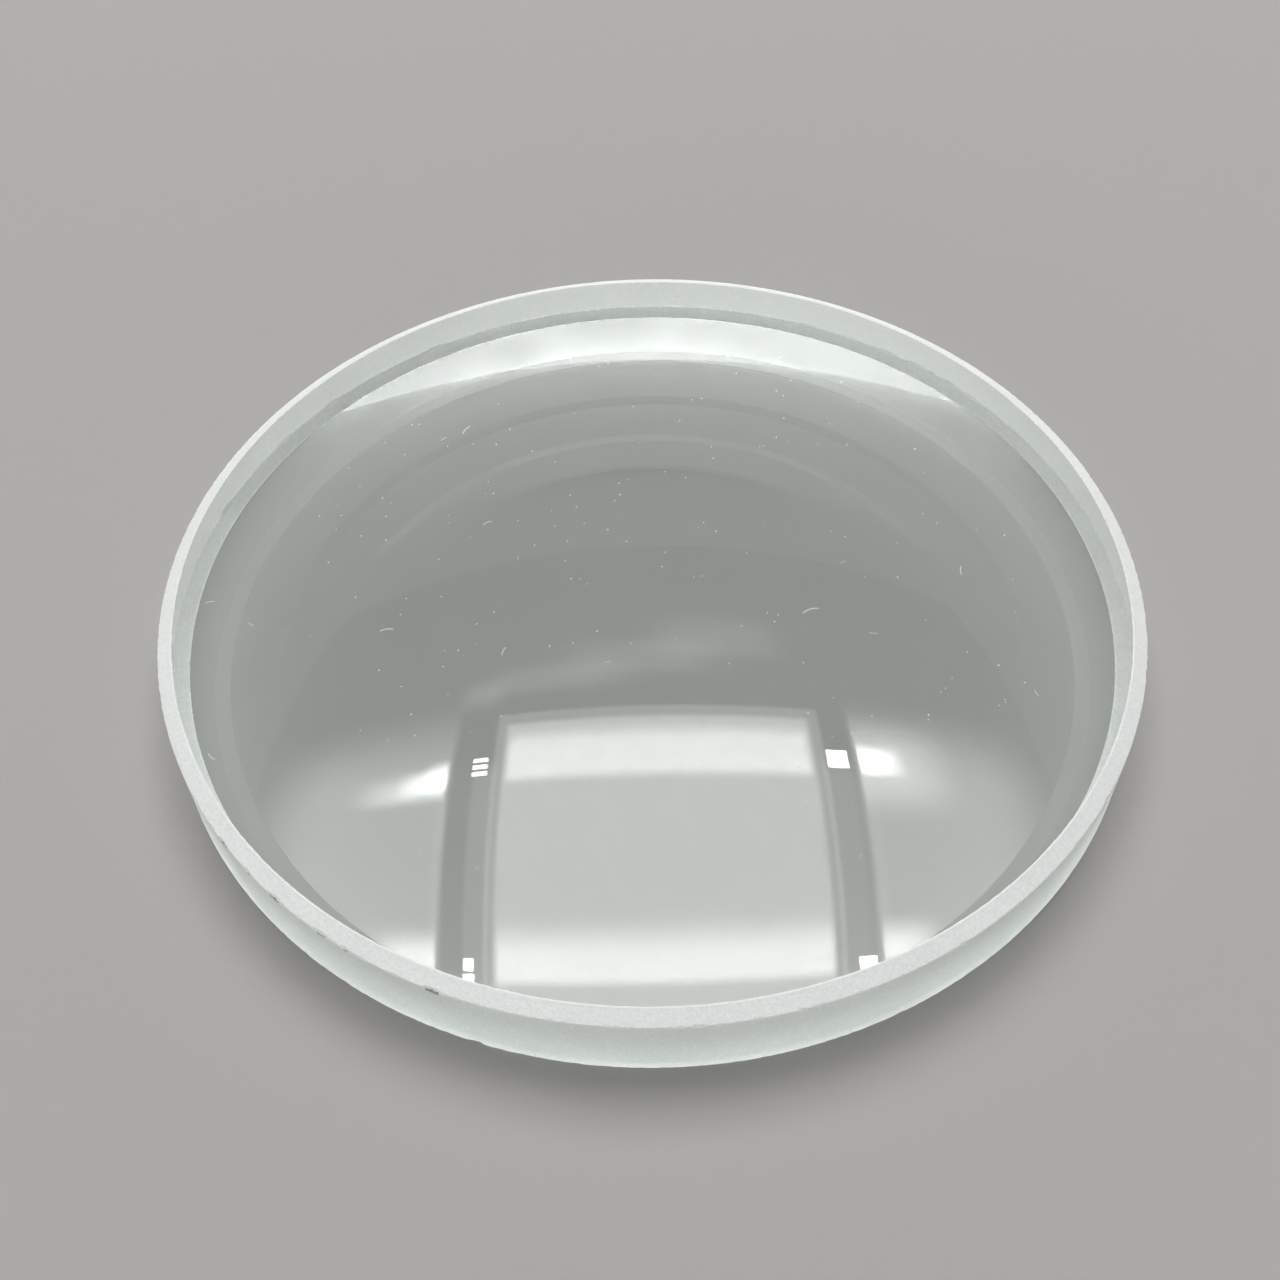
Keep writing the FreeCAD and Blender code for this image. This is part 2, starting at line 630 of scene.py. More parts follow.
    def bite(self, height: Feed, fray_share: float) -> tuple[Socket, Socket]:
        """How far the corner is broken back, at each turn.

        Args:
            height: height of the corner circle.
            fray_share: how frayed this corner is beside the upper one.

        Returns:
            The length lost from the land and the edge, and the part of it that a flake took.
        """
        graph, given = self.graph, self.given
        corner = self.on_circle(given["Radius"], height)
        search = {"Geometry": given["Geometry"], "Sample Position": corner}
        nearest = graph.result("GeometryNodeSampleNearest", search)
        centre = self.of_chip(nearest, graph.result("GeometryNodeInputPosition"), "FLOAT_VECTOR")
        half = self.of_chip(nearest, graph.carried("half_length"), "FLOAT")
        depth = self.of_chip(nearest, graph.carried("depth"), "FLOAT")
        share = graph.over(graph.vector_math("DISTANCE", corner, centre, "Value"), half)
        inside = graph.less(1.0, graph.times(share, share))
        flake = graph.times(depth, graph.root(graph.math("MAXIMUM", inside, 0.0)))
        noise = graph.noise(corner, given["Fray Pitch"], self.fray_detail)
        rough = graph.math("MAXIMUM", graph.less(noise, self.fray_start), 0.0)
        worn = graph.plus(graph.times(rough, given["Fray"], fray_share), given["Arris"])
        return graph.plus(flake, worn), flake

    def of_chip(self, index: Socket, value: Socket, kind: str) -> Socket:
        """A value that is read on the mark of one chip."""
        reading = {"Geometry": self.given["Geometry"], "Value": value, "Index": index}
        return self.graph.result("GeometryNodeSampleIndex", reading, data_type=kind)

    def corner(self, height: Feed, bite: Socket, up: int) -> tuple[Point, Point]:
        """The two points where a broken corner's facet meets the land and the edge.

        Args:
            height: height of the unbroken corner.
            bite: length lost.
            up: 1 for the upper corner, -1 for the lower.

        Returns:
            Radius and height on the land, then radius and height on the edge.
        """
        graph, given = self.graph, self.given
        width, drop = given["Land Width"], given["Land Drop"]
        slant = graph.root(graph.plus(graph.times(width, width), graph.times(drop, drop)))
        step = graph.over(graph.times(bite, given["Land Reach"]), slant)
        land_radius = graph.less(given["Radius"], graph.times(step, width))
        land_height = graph.plus(height, graph.times(step, drop, up))
        fall = graph.times(bite, given["Chip Fall"], -up)
        return (land_radius, land_height), (given["Radius"], graph.plus(height, fall))

    def chip_zone(self, flake: Socket) -> Socket:
        """The finish of the upper corner, where each flake's facet is painted dark beside the edge, a
        painted shade.

        Args:
            flake: the length that a flake took.

        Returns:
            The zone's number at each face: chip shade in the painted dark band, land where it's only
            worn.
        """
        graph = self.graph
        reach = graph.plus(self.along, graph.times(flake, self.chip_shade_growth))
        dark = graph.math("GREATER_THAN", reach, self.chip_shade_start)
        land, chip_shade = Zone.LAND.value, Zone.CHIP_SHADE.value
        return graph.plus(land, graph.times(dark, chip_shade - land))

    def bow(self, bite: Socket, up: int) -> Point:
        """How far a chip's facet is hollowed, towards the axis and towards the lens's middle."""
        hollow = self.graph.times(bite, self.given["Scoop"])
        return self.graph.times(hollow, -1.0), self.graph.times(hollow, up)

    def band(
        self, start: Point, end: Point, rows: int, zone: Feed, bow: Point | None = None
    ) -> Socket:
        """A band of the solid between two circles of the section.

        Args:
            start: radius and height where it starts.
            end: radius and height where it ends.
            rows: faces across it.
            zone: its finish.
            bow: how far its middle is hollowed, or None where it is straight.

        Returns:
            The band's mesh.
        """
        graph, along = self.graph, self.along
        rest = graph.less(1.0, along)
        hump = graph.times(along, rest, self.bow_peak)
        placed = []
        for axis in (0, 1):
            value = graph.plus(graph.times(rest, start[axis]), graph.times(along, end[axis]))
            if bow is not None:
                value = graph.plus(value, graph.times(hump, bow[axis]))
            placed.append(value)
        return self.turned_grid(placed[0], placed[1], rows, zone)

    def polished_radius(self, rim_radius: Socket) -> Socket:
        """Radius where the polish ends, a little inside the rim circle and not quite even.

        Args:
            rim_radius: radius of the rim circle.

        Returns:
            The radius at each turn.
        """
        graph, given = self.graph, self.given
        around = self.on_circle(rim_radius, 0.0)
        noise = graph.noise(around, given["Inner Pitch"], self.inner_detail)
        share = graph.plus(1.0 - MEAN_NOISE, noise)
        return graph.less(rim_radius, graph.times(share, given["Inner Arris"]))

    def dish(self, edge_radius: Socket, along: Socket, upper: bool) -> Socket:
        """A spherical dish, from the axis to its rim circle or back.

        Args:
            edge_radius: radius where the polish ends.
            along: share of the way from the axis to there.
            upper: True for the upper dish.

        Returns:
            The dish's mesh.
        """
        radius = self.graph.times(edge_radius, along)
        height = below_rim(self.graph, self.given, radius)
        if upper:
            height = self.graph.less(self.given["Rim Height"], height)
        return self.turned_grid(radius, height, self.dish_rows, Zone.POLISHED.value)

    def turned_grid(self, radius: Socket, height: Socket, rows: int, zone: Feed) -> Socket:
        """Wrap a flat grid round the axis and mark how it is finished.

        Args:
            radius: distance from the axis at each point.
            height: height at each point.
            rows: faces along the section.
            zone: the finish.

        Returns:
            The wrapped mesh.
        """
        graph = self.graph
        sides = {"Size X": GRID_SIDE, "Size Y": GRID_SIDE}
        points = {"Vertices X": self.columns + 1, "Vertices Y": rows + 1}
        grid = graph.result("GeometryNodeMeshGrid", sides | points)
        marking = {"Geometry": grid, "Name": self.zone_name, "Value": zone}
        marked = graph.result(
            "GeometryNodeStoreNamedAttribute", marking, data_type="INT", domain="FACE"
        )
        placing = {"Geometry": marked, "Position": self.on_circle(radius, height)}
        return graph.result("GeometryNodeSetPosition", placing)


@dataclass(frozen=True)
class WheelGrain:
    """The pits that a grinding wheel leaves, for the ground bands and the chips."""

    detail: float = 4.0
    roughness: float = 0.65
    cell_share: float = 0.3
    glint_facet_range: Pair = (0.80, 0.98)
    pit_shade_range: Pair = (0.62, 0.38)
    patch_detail: float = 3.0

    def group(self) -> Tree:
        """Write the shader group.

        Returns:
            A group with a height, masks of facets for painted glints and of low pits for painted
            shade, and a slow unevenness.
        """
        graph = Graph(bpy.data.node_groups.new("wheel_grain", "ShaderNodeTree"))
        graph.socket("Pit Size", "NodeSocketFloat", value=0.2 * MM)
        graph.socket("Patch Size", "NodeSocketFloat", value=4.0 * MM)
        for name in ("Height", "Glint Facets", "Shaded Pits", "Patches"):
            graph.socket(name, "NodeSocketFloat", into=False)
        given = graph.place("NodeGroupInput").outputs
        place = graph.place("ShaderNodeTexCoord").outputs["Object"]
        coarse = graph.noise(place, given["Pit Size"], self.detail, self.roughness)
        scale = graph.over(1.0, given["Pit Size"])
        cells = graph.place("ShaderNodeTexVoronoi", {"Vector": place, "Scale": scale}).outputs
        chance = graph.result("ShaderNodeSeparateColor", {"Color": cells["Color"]})
        height = graph.plus(
            graph.times(coarse, 1.0 - self.cell_share),
            graph.times(cells["Distance"], self.cell_share),
        )
        results = {
            "Height": height,
            # Painted glints: random cells of the grain take the bright facet colour.
            "Glint Facets": graph.mapped(chance, self.glint_facet_range),
            # Painted shade: pits darken where the grain's coarse height is low.
            "Shaded Pits": graph.mapped(coarse, self.pit_shade_range),
            "Patches": graph.noise(place, given["Patch Size"], self.patch_detail),
        }
        graph.place("NodeGroupOutput", results)
        return graph.tree


def new_material(name: str) -> tuple[Material, Graph, Socket]:
    """A new material, emptied, with a writer and the place for its surface.

    Args:
        name: the material's name.

    Returns:
        The material, its tree's writer and the surface input.
    """
    material = bpy.data.materials.new(name)
    material.use_nodes = True
    material.node_tree.nodes.clear()
    graph = Graph(material.node_tree)
    return material, graph, graph.place("ShaderNodeOutputMaterial").inputs["Surface"]


@dataclass(frozen=True)
class PolishedFinish:
    """Clear optical glass with the faint green of plain crown or plate.

    Shadow rays and diffuse rays pass straight through it, so that the floor below is lit.
    """

    name: str = "polished_crown_glass"
    tint: Colour = (0.945, 0.976, 0.96, 1.0)
    lamp_pass: Colour = (0.89, 0.91, 0.90, 1.0)
    roughness: float = 0.0

    def material(self) -> Material:
        """Build the finish.

        Returns:
            The material.
        """
        material, graph, surface = new_material(self.name)
        looks = {
            "Base Color": self.tint,
            "Roughness": self.roughness,
            "IOR": CROWN_GLASS_IOR,
            "Transmission Weight": 1.0,
        }
        glass = graph.result("ShaderNodeBsdfPrincipled", looks)
        clear = graph.result("ShaderNodeBsdfTransparent", {"Color": self.lamp_pass})
        path = graph.place("ShaderNodeLightPath").outputs
        passing = graph.math("MAXIMUM", path["Is Shadow Ray"], path["Is Diffuse Ray"])
        graph.feed(surface, graph.shader_mix(passing, glass, clear))
        return material


@dataclass(frozen=True)
class GroundFinish:
    """Glass left grey by the wheel: pale and rough, with painted glints on bright facets and painted
    shade in its pits.

    Part of the light passes it scattered evenly, as through a veil of tiny cracks.
    """

    name: str = "ground_glass"
    body: Colour = (0.90, 0.945, 0.92, 1.0)
    # Pit colour, painted shade in the low pits of the grain.
    pit: Colour = (0.83, 0.885, 0.86, 1.0)
    # Facet colour, painted glints on random facets.
    facet: Colour = (0.97, 1.0, 0.99, 1.0)
    pit_size: float = 0.22 * MM
    patch_size: float = 5.0 * MM
    patch_range: Pair = (0.3, 0.7)
    roughness: Pair = (0.5, 0.65)
    transmission: float = 0.80
    veil: float = 0.40
    depth: float = 0.035 * MM

    def material(self, grain_group: Tree) -> Material:
        """Build the finish.

        Args:
            grain_group: the shared shader group of the wheel's grain.

        Returns:
            The material.
        """
        material, graph, surface = new_material(self.name)
        node = graph.place("ShaderNodeGroup", node_tree=grain_group)
        graph.feed(node.inputs["Pit Size"], self.pit_size)
        graph.feed(node.inputs["Patch Size"], self.patch_size)
        grain = node.outputs
        # Painted shade in the pits, then painted glints on the facets.
        worn = graph.colour_mix(grain["Shaded Pits"], self.body, self.pit)
        lit = graph.colour_mix(grain["Glint Facets"], worn, self.facet)
        rough = graph.mapped(grain["Patches"], self.patch_range, self.roughness)
        bumps = {"Height": grain["Height"], "Distance": self.depth}
        bump = graph.result("ShaderNodeBump", bumps)
        looks = {
            "Base Color": lit,
            "Roughness": rough,
            "IOR": CROWN_GLASS_IOR,
            "Transmission Weight": self.transmission,
            "Normal": bump,
        }
        shell = graph.result("ShaderNodeBsdfPrincipled", looks)
        through = graph.result("ShaderNodeBsdfTranslucent", {"Color": lit, "Normal": bump})
        graph.feed(surface, graph.shader_mix(self.veil, shell, through))
        return material


@dataclass(frozen=True)
class PlainFinish:
    """One even colour, for the floor and for dust."""

    name: str
    colour: Colour
    roughness: float = 0.8
    gleam: float = 0.2

    def material(self) -> Material:
        """Build the finish.

        Returns:
            The material.
        """
        material, graph, surface = new_material(self.name)
        looks = {"Base Color": self.colour, "Roughness": self.roughness}
        looks["Specular IOR Level"] = self.gleam
        graph.feed(surface, graph.result("ShaderNodeBsdfPrincipled", looks))
        return material


GROUND_EDGE = GroundFinish()
GROUND_LAND = GroundFinish(
    name="ground_land",
    body=(0.98, 0.99, 0.985, 1.0),
    pit=(0.87, 0.90, 0.89, 1.0),
    pit_size=0.24 * MM,
    depth=0.05 * MM,
    roughness=(0.6, 0.85),
    transmission=0.05,
    veil=0.22,
)
# The chip finish: its dark body and pits are painted shade in the notches beside the edge, and its
# brighter facets are painted glints.
CHIP_SHADE_GLASS = GroundFinish(
    name="chip_shade_glass",
    body=(0.30, 0.34, 0.32, 1.0),
    pit=(0.20, 0.24, 0.22, 1.0),
    facet=(0.62, 0.67, 0.65, 1.0),
    pit_size=0.35 * MM,
    depth=0.05 * MM,
    roughness=(0.25, 0.45),
    transmission=0.40,
    veil=0.08,
)


def lens_finishes() -> dict[Zone, Material]:
    """Build the materials of the lens.

    Returns:
        The material of each zone.
    """
    grain = WheelGrain().group()
    return {
        Zone.POLISHED: PolishedFinish().material(),
        Zone.EDGE: GROUND_EDGE.material(grain),
        Zone.LAND: GROUND_LAND.material(grain),
        Zone.CHIP_SHADE: CHIP_SHADE_GLASS.material(grain),
    }


@dataclass(frozen=True)
class Lint:
    """A hair of lint on the upper dish: its place and length in millimetres, and its turn."""

    x: float
    y: float
    length: float
    turn_deg: float


@dataclass
class DustFall:
    """Specks and hairs of lint that lie on the upper dish, as tiny solid pieces.

    The least and greatest speck are half sides, as shares of speck size. A hair's path and radius
    are shares of its length.
    """

    form: LensForm
    finish: Material
    seed: int = 5
    draws_kept: int = 10
    speck_count: int = 200
    speck_size: float = 0.16 * MM
    least_speck: Triple = (0.35, 0.25, 0.2)
    greatest_speck: Triple = (1.0, 0.6, 0.4)
    spread: float = 39.0 * MM
    hair_lift: float = 0.04 * MM
    hair_path: tuple[Triple, Triple, Triple] = ((-0.5, 0.0, 0.0), (0.05, 0.22, 0.05), (0.5, 0.0, 0.0))
    hair_steps: int = 6
    hair_radius: float = 0.035
    hair_sides: int = 5
    hairs_mm: tuple[Lint, ...] = (
        Lint(-27.0, -5.0, 1.4, 8.0), Lint(-15.0, -7.5, 1.1, 70.0), Lint(-17.5, 10.5, 1.1, 30.0),
        Lint(-20.5, 24.5, 1.4, 58.0), Lint(-23.0, 23.0, 0.8, 40.0), Lint(-14.0, 5.5, 0.6, 95.0),
        Lint(-45.0, -2.5, 1.0, 15.0), Lint(-40.5, -5.0, 0.7, 150.0), Lint(-4.5, -9.0, 0.7, 20.0),
        Lint(16.5, -3.0, 1.8, 18.0), Lint(20.5, 3.5, 0.7, 25.0), Lint(22.5, -6.5, 0.9, 170.0),
        Lint(32.5, 1.0, 1.2, 85.0), Lint(31.0, 8.0, 0.5, 60.0), Lint(37.0, -16.0, 0.8, 110.0),
        Lint(-41.5, -22.0, 1.0, 135.0), Lint(5.5, 2.5, 0.5, 5.0),
    )
    graph: Graph = field(init=False)
    given: Outputs = field(init=False)

    def __post_init__(self) -> None:
        """Start the tree."""
        self.graph, self.given = geometry_tree("dust_fall", self.sizes())

    def sizes(self) -> Sizes:
        """The tree's inputs and their values."""
        return {
            "Speck Count": self.speck_count,
            "Speck Size": self.speck_size,
            "Spread": self.spread,
            "Rim Height": self.form.rim_height,
            "Dish Depth": self.form.dish_depth,
            "Face Radius": self.form.face_radius,
        }

    def build(self) -> Object:
        """Scatter the specks, lay the hairs and leave them as a plain mesh.

        Returns:
            The dust piece.
        """
        graph = self.graph
        joined = graph.place("GeometryNodeJoinGeometry")
        for part in (self.specks(), self.laid_hairs()):
            graph.tree.links.new(part, joined.inputs[0])
        whole = graph.result("GeometryNodeRealizeInstances", {"Geometry": joined.outputs[0]})
        dressing = {"Geometry": whole, "Material": self.finish}
        dressed = graph.result("GeometryNodeSetMaterial", dressing)
        graph.place("NodeGroupOutput", {"Geometry": dressed})
        piece = grown_piece("surface_dust", self.lint_marks(), graph.tree, self.sizes())
        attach(piece, BODY)
        return piece

    def lint_marks(self) -> Object:
        """One loose vertex for each hair, with its length and turn.

        Returns:
            The object that holds them.
        """
        places = []
        for hair in self.hairs_mm:
            x, y = hair.x * MM, hair.y * MM
            places.append((x, y, self.form.dish_height(math.hypot(x, y)) + self.hair_lift))
        carried = {
            "hair_length": [hair.length * MM for hair in self.hairs_mm],
            "hair_turn": [math.radians(hair.turn_deg) for hair in self.hairs_mm],
        }
        return loose_marks("lint_marks", places, carried)

    def seed_of(self, step: int) -> int:
        """A seed for each draw, so that no two are alike."""
        return self.seed * self.draws_kept + step

    def draw(self, low: float, high: float, step: int) -> Socket:
        """A random number for each speck.

        Args:
            low: least value.
            high: greatest value.
            step: which draw this is.

        Returns:
            The number.
        """
        feeds = {2: low, 3: high, "Seed": self.seed_of(step)}
        return self.graph.place("FunctionNodeRandomValue", feeds, data_type="FLOAT").outputs[1]

    def specks(self) -> Socket:
        """Flat grains at random over the dish.

        Returns:
            The specks.
        """
        graph, given = self.graph, self.given
        radius = graph.times(graph.root(self.draw(0.0, 1.0, 1)), given["Spread"])
        turn = self.draw(0.0, math.tau, 2)
        place = graph.vector(
            graph.times(radius, graph.math("COSINE", turn)),
            graph.times(radius, graph.math("SINE", turn)),
            graph.less(given["Rim Height"], below_rim(graph, given, radius)),
        )
        scattering = {"Count": given["Speck Count"], "Position": place}
        points = graph.result("GeometryNodePoints", scattering)
        grain = graph.result("GeometryNodeMeshIcoSphere", {"Radius": 1.0, "Subdivisions": 1})
        spans = {0: self.least_speck, 1: self.greatest_speck, "Seed": self.seed_of(3)}
        size = graph.result("FunctionNodeRandomValue", spans, data_type="FLOAT_VECTOR")
        placing = {
            "Points": points,
            "Instance": grain,
            "Rotation": graph.vector(0.0, 0.0, self.draw(0.0, math.tau, 4)),
            "Scale": graph.scaled(size, given["Speck Size"]),
        }
        return graph.result("GeometryNodeInstanceOnPoints", placing)

    def laid_hairs(self) -> Socket:
        """A bent hair on each mark, as long and turned as the mark says.

        Returns:
            The hairs.
        """
        graph = self.graph
        start, middle, end = self.hair_path
        bend = {"Resolution": self.hair_steps, "Start": start, "Middle": middle, "End": end}
        path = graph.result("GeometryNodeCurveQuadraticBezier", bend)
        section = {"Resolution": self.hair_sides, "Radius": self.hair_radius}
        ring = graph.result("GeometryNodeCurvePrimitiveCircle", section)
        sweep = {"Curve": path, "Profile Curve": ring, "Fill Caps": True}
        hair = graph.result("GeometryNodeCurveToMesh", sweep)
        points = graph.result("GeometryNodeMeshToPoints", {"Mesh": self.given["Geometry"]})
        length = graph.carried("hair_length")
        placing = {
            "Points": points,
            "Instance": hair,
            "Rotation": graph.vector(0.0, 0.0, graph.carried("hair_turn")),
            "Scale": graph.vector(length, length, length),
        }
        return graph.result("GeometryNodeInstanceOnPoints", placing)


@dataclass(frozen=True)
class LightPatch:
    """A soft-edged bright part of the ceiling. Lengths are shares of its height over the lens."""

    across: Pair
    along: Pair
    radiance: float
    fade_across: Pair
    fade_along: Pair


@dataclass
class CeilingFace:
    """A glowing board over the lens, seen only as a reflection or through glass."""

    height: float
    patches: Sequence[LightPatch]
    reach_share: float = 1.3

    def build(self) -> Object:
        """Make the board.

        Returns:
            Its object.
        """
        board = flat_square("ceiling_face", self.reach_share * self.height, 0.0, self.light())
        board.matrix_world = Matrix.Translation((0.0, 0.0, self.height))
        board.visible_camera = False
        board.visible_diffuse = False
        board.visible_shadow = False
        return board

    def light(self) -> Material:
        """The board's light, as patches over its plane.

        Returns:
            The material.
        """
        material, graph, surface = new_material("ceiling_face_light")
        material.cycles.emission_sampling = "NONE"
        mask_group = self.patch_group()
        place = graph.place("ShaderNodeTexCoord").outputs["Object"]
        place = graph.scaled(place, 1 / self.height)
        total = 0.0
        for patch in self.patches:
            sizes = {
                "Place": place,
                "Low": (patch.across[0], patch.along[0], 0.0),
                "High": (patch.across[1], patch.along[1], 0.0),
                "Fade Below": (patch.fade_across[0], patch.fade_along[0], 1.0),
                "Fade Above": (patch.fade_across[1], patch.fade_along[1], 1.0),
            }
            node = graph.place("ShaderNodeGroup", node_tree=mask_group)
            for name, value in sizes.items():
                graph.feed(node.inputs[name], value)
            total = graph.plus(total, graph.times(node.outputs[0], patch.radiance))
        graph.feed(surface, graph.result("ShaderNodeEmission", {"Strength": total}))
        return material

    @staticmethod
    def patch_group() -> Tree:
        """A soft-edged rectangle as a mask.

        Returns:
            The shader group.
        """
        graph = Graph(bpy.data.node_groups.new("soft_patch", "ShaderNodeTree"))
        for name in ("Place", "Low", "High", "Fade Below", "Fade Above"):
            graph.socket(name, "NodeSocketVector")
        graph.socket("Mask", "NodeSocketFloat", into=False)
        given = graph.place("NodeGroupInput").outputs
        mask = 1.0
        for start, end, fade in (
            (given["Low"], given["Place"], given["Fade Below"]),
            (given["Place"], given["High"], given["Fade Above"]),
        ):
            beyond = graph.vector_math("SUBTRACT", start, end, "Vector")
            shares = graph.parts(graph.vector_math("DIVIDE", beyond, fade, "Vector"))
            for axis in ("X", "Y"):
                rise = graph.mapped(shares[axis], (1.0, 0.0), interpolation_type="SMOOTHSTEP")
                mask = graph.times(mask, rise)
        graph.place("NodeGroupOutput", {"Mask": mask})
        return graph.tree


SMALL_LIGHT = 30.0
CEILING_PATCHES = (
    # The panel, its frame, the dim trim outside it and the two bright strips across it
    LightPatch((-0.312, 0.348), (-0.26, 0.425), 4.1, (0.020, 0.020), (0.02, 0.020)),
    LightPatch((-0.340, 0.380), (-0.26, 0.460), 2.2, (0.012, 0.012), (0.02, 0.012)),
    LightPatch((-0.470, 0.490), (-0.26, 0.290), 0.5, (0.012, 0.012), (0.02, 0.080)),
    LightPatch((-0.300, 0.335), (0.300, 0.365), 7.2, (0.025, 0.025), (0.035, 0.06)),
    LightPatch((-0.305, 0.345), (-0.150, -0.120), 8.4, (0.025, 0.025), (0.03, 0.10)),
    # The bars at its sides
    LightPatch((-0.385, -0.340), (-0.26, 0.290), 1.4, (0.012, 0.012), (0.02, 0.06)),
    LightPatch((0.380, 0.435), (-0.26, 0.270), 1.3, (0.012, 0.030), (0.02, 0.08)),
    # The small square lights
    LightPatch((-0.392, -0.362), (0.302, 0.310), SMALL_LIGHT, (0.006, 0.006), (0.003, 0.003)),
    LightPatch((-0.392, -0.362), (0.320, 0.328), SMALL_LIGHT, (0.006, 0.006), (0.003, 0.003)),
    LightPatch((-0.392, -0.362), (0.338, 0.346), SMALL_LIGHT, (0.006, 0.006), (0.003, 0.003)),
    LightPatch((0.392, 0.440), (0.306, 0.348), SMALL_LIGHT, (0.005, 0.005), (0.005, 0.005)),
    LightPatch((-0.386, -0.370), (-0.140, -0.118), SMALL_LIGHT, (0.006, 0.006), (0.004, 0.004)),
    LightPatch((-0.388, -0.368), (-0.170, -0.150), SMALL_LIGHT, (0.006, 0.006), (0.004, 0.004)),
    LightPatch((0.416, 0.452), (-0.154, -0.136), SMALL_LIGHT, (0.006, 0.006), (0.006, 0.006)),
    # The bright wings beside the panel, and the pair nearer to the camera
    LightPatch((-0.484, -0.462), (0.292, 0.318), 12.0, (0.05, 0.012), (0.03, 0.045)),
    LightPatch((-0.516, -0.472), (0.282, 0.298), 12.0, (0.10, 0.02), (0.028, 0.045)),
    LightPatch((-0.580, -0.470), (0.264, 0.284), 6.5, (0.20, 0.02), (0.03, 0.06)),
    LightPatch((0.478, 0.502), (0.312, 0.338), 19.0, (0.012, 0.12), (0.035, 0.045)),
    LightPatch((0.478, 0.560), (0.285, 0.345), 5.5, (0.020, 0.26), (0.12, 0.14)),
    LightPatch((-0.540, -0.462), (-0.150, -0.125), 12.0, (0.16, 0.010), (0.05, 0.09)),
    LightPatch((0.482, 0.530), (-0.150, -0.125), 12.0, (0.015, 0.14), (0.05, 0.09)),
    # The broad glow on both sides
    LightPatch((-0.820, -0.462), (-0.10, 0.27), 4.3, (0.50, 0.025), (0.25, 0.28)),
    LightPatch((0.478, 0.820), (-0.10, 0.27), 4.2, (0.030, 0.50), (0.25, 0.28)),
    # The faint cloud beyond the panel
    LightPatch((-0.30, -0.16), (0.555, 0.585), 1.1, (0.14, 0.18), (0.04, 0.07)),
    LightPatch((-0.10, 0.06), (0.600, 0.650), 1.0, (0.18, 0.18), (0.05, 0.09)),
    LightPatch((0.12, 0.25), (0.665, 0.730), 1.0, (0.18, 0.14), (0.06, 0.11)),
    LightPatch((-0.42, -0.38), (0.530, 0.550), 1.3, (0.06, 0.06), (0.05, 0.06)),
)


@dataclass(frozen=True)
class SoftLamp:
    """A rectangular lamp that faces the lens. Its radiance is its face's, where 1 is white."""

    name: str
    place: Triple
    size: Pair
    radiance: float
    mirrored: bool = False

    def build(self) -> Object:
        """Make the lamp.

        Returns:
            The lamp.
        """
        width, height = self.size
        data = bpy.data.lights.new(self.name, "AREA")
        data.shape = "RECTANGLE"
        data.size = width
        data.size_y = height
        data.energy = self.radiance * math.pi * width * height
        lamp = added(self.name, data)
        place = Vector(self.place)
        turned = place.to_track_quat("Z", "Y").to_matrix().to_4x4()
        lamp.matrix_world = Matrix.Translation(place) @ turned
        lamp.visible_camera = False
        lamp.visible_glossy = self.mirrored
        lamp.visible_transmission = self.mirrored
        return lamp


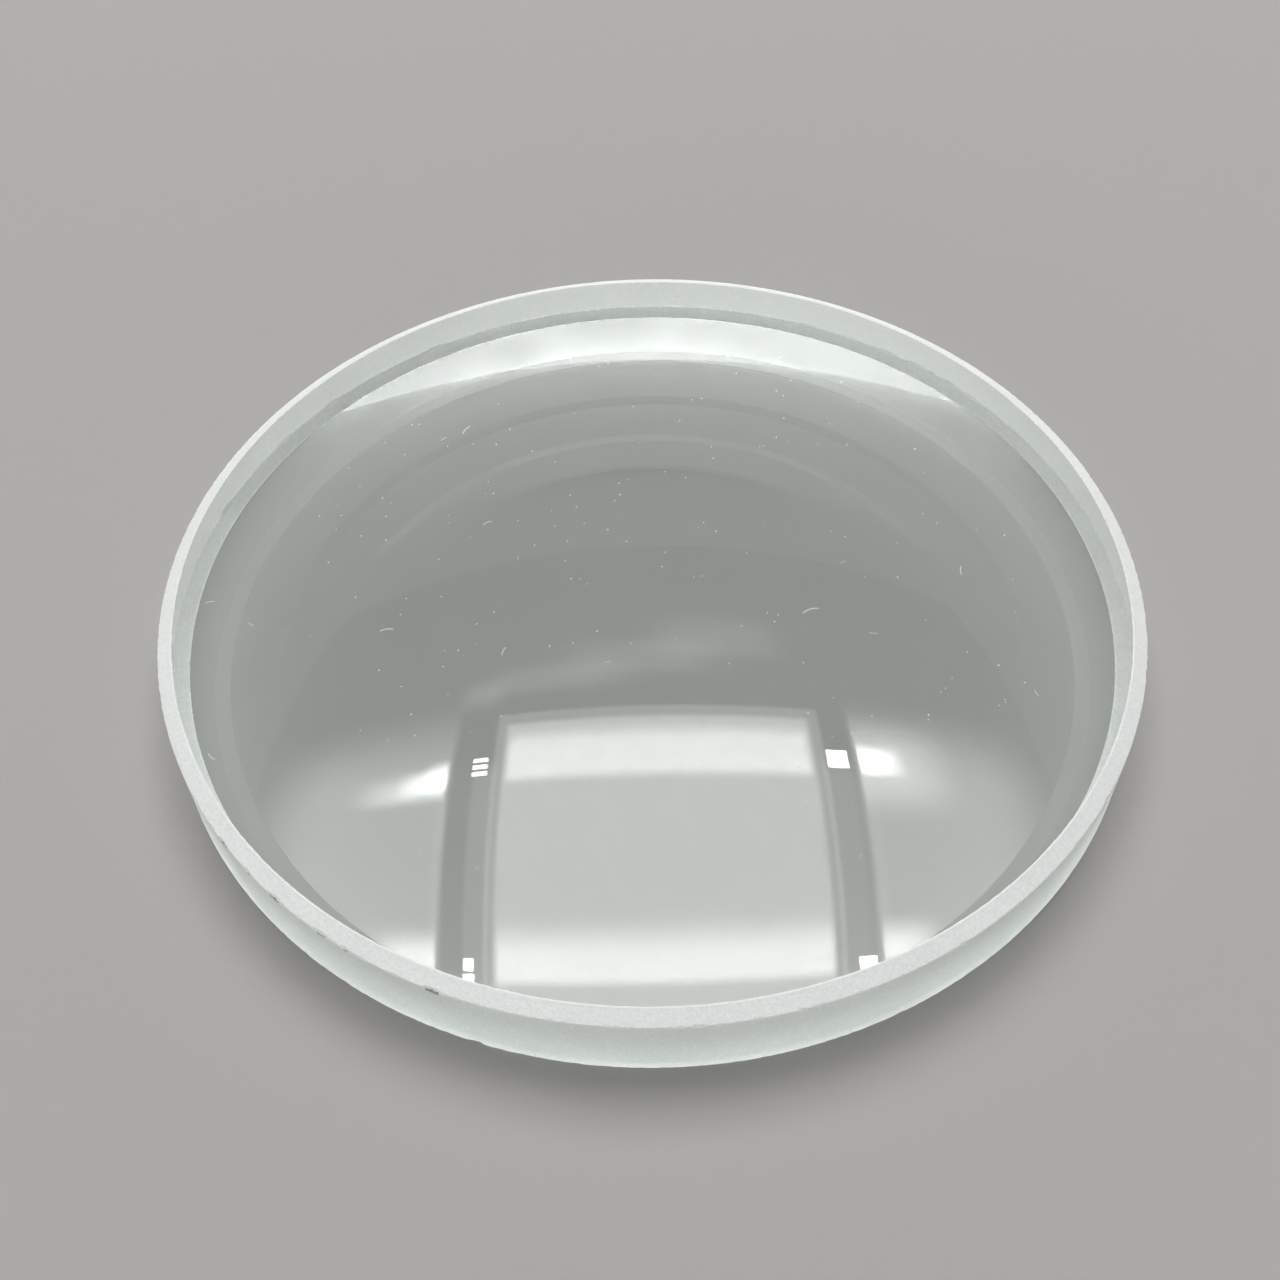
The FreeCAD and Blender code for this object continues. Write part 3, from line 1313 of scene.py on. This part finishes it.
@dataclass
class Studio:
    """A plain pale floor under plain soft light."""

    floor_colour: Colour = (0.405, 0.394, 0.378, 1.0)
    floor_roughness: float = 0.6
    floor_reach: float = 3.0
    floor_gap: float = 0.02 * MM
    sky: Colour = (1.0, 0.99, 0.98, 1.0)
    sky_strength: float = 0.25
    backdrop: Colour = (0.405, 0.394, 0.378, 1.0)
    backdrop_strength: float = 1.0
    ceiling_height: float = 1.6
    lamps: tuple[SoftLamp, ...] = (
        SoftLamp("ceiling_lamp", (0.024, 0.64, 1.648), (1.344, 1.088), 5.3),
        SoftLamp("front_lamp", (-0.3, -0.95, 0.16), (1.2, 0.28), 2.55, mirrored=True),
        SoftLamp("back_lamp", (0.0, 1.1, 0.20), (4.2, 0.24), 3.4),
    )

    def build(self) -> None:
        """Make the floor, the lamps and the world."""
        self.floor()
        CeilingFace(self.ceiling_height, CEILING_PATCHES).build()
        for lamp in self.lamps:
            lamp.build()
        self.world()
        log.info("studio: floor, mirrored ceiling and %d soft lamps", len(self.lamps))

    def floor(self) -> Object:
        """The floor just under the lens.

        Returns:
            Its object.
        """
        finish = PlainFinish("pale_floor", self.floor_colour, self.floor_roughness)
        floor = flat_square("floor", self.floor_reach, -self.floor_gap, finish.material())
        return floor

    def world(self) -> None:
        """Even light from all round, and a pale backdrop seen past the floor and in the glass."""
        world = bpy.data.worlds.new("studio_world")
        world.use_nodes = True
        world.node_tree.nodes.clear()
        graph = Graph(world.node_tree)
        even = {"Color": self.sky, "Strength": self.sky_strength}
        pale = {"Color": self.backdrop, "Strength": self.backdrop_strength}
        light = graph.result("ShaderNodeBackground", even)
        seen = graph.result("ShaderNodeBackground", pale)
        path = graph.place("ShaderNodeLightPath").outputs
        glass = graph.math("MAXIMUM", path["Is Glossy Ray"], path["Is Transmission Ray"])
        direct = graph.math("MAXIMUM", path["Is Camera Ray"], glass)
        graph.place("ShaderNodeOutputWorld", {"Surface": graph.shader_mix(direct, light, seen)})
        bpy.context.scene.world = world


@dataclass(frozen=True)
class PhotoCamera:
    """The camera at the photograph's place, from the two rim circles."""

    elevation_deg: float = 50.06
    distance: float = 148.85 * MM
    target: Triple = (-1.2 * MM, -8.6 * MM, 8.417 * MM)
    roll_deg: float = -1.30
    focal_length_mm: float = 42.075
    sensor_mm: float = 36.0
    nearest: float = 5 * MM
    farthest: float = 20.0

    def build(self) -> Object:
        """Make the camera and give it to the scene.

        Returns:
            The camera.
        """
        rise = math.radians(self.elevation_deg)
        roll = math.radians(self.roll_deg)
        back = Vector((0, -math.cos(rise), math.sin(rise)))
        level_right = Vector((1, 0, 0))
        level_up = Vector((0, math.sin(rise), math.cos(rise)))
        right = math.cos(roll) * level_right + math.sin(roll) * level_up
        up = math.cos(roll) * level_up - math.sin(roll) * level_right
        data = bpy.data.cameras.new("photo_camera")
        data.lens = self.focal_length_mm
        data.sensor_width = self.sensor_mm
        data.clip_start = self.nearest
        data.clip_end = self.farthest
        camera = added("photo_camera", data)
        turned = Matrix((right, up, back)).transposed().to_4x4()
        place = Vector(self.target) + back * self.distance
        camera.matrix_world = Matrix.Translation(place) @ turned
        bpy.context.scene.camera = camera
        return camera


def main() -> None:
    """Build the lens and its studio, in order."""
    logging.basicConfig(level=logging.INFO, format="%(name)s: %(message)s")
    form = LensForm.from_frame()
    log.info("lens radius %.4f m, rim height %.4f m", form.radius, form.rim_height)
    LensBlank(form, ChipPlan().all_chips(form), lens_finishes()).build()
    dust = PlainFinish("pale_dust", (0.82, 0.82, 0.80, 1.0)).material()
    DustFall(form, dust).build()
    Studio().build()
    PhotoCamera().build()
    bpy.context.scene.view_settings.view_transform = "Standard"
    bpy.context.scene.cycles.sample_clamp_indirect = 0.0


if __name__ == "__main__":
    main()
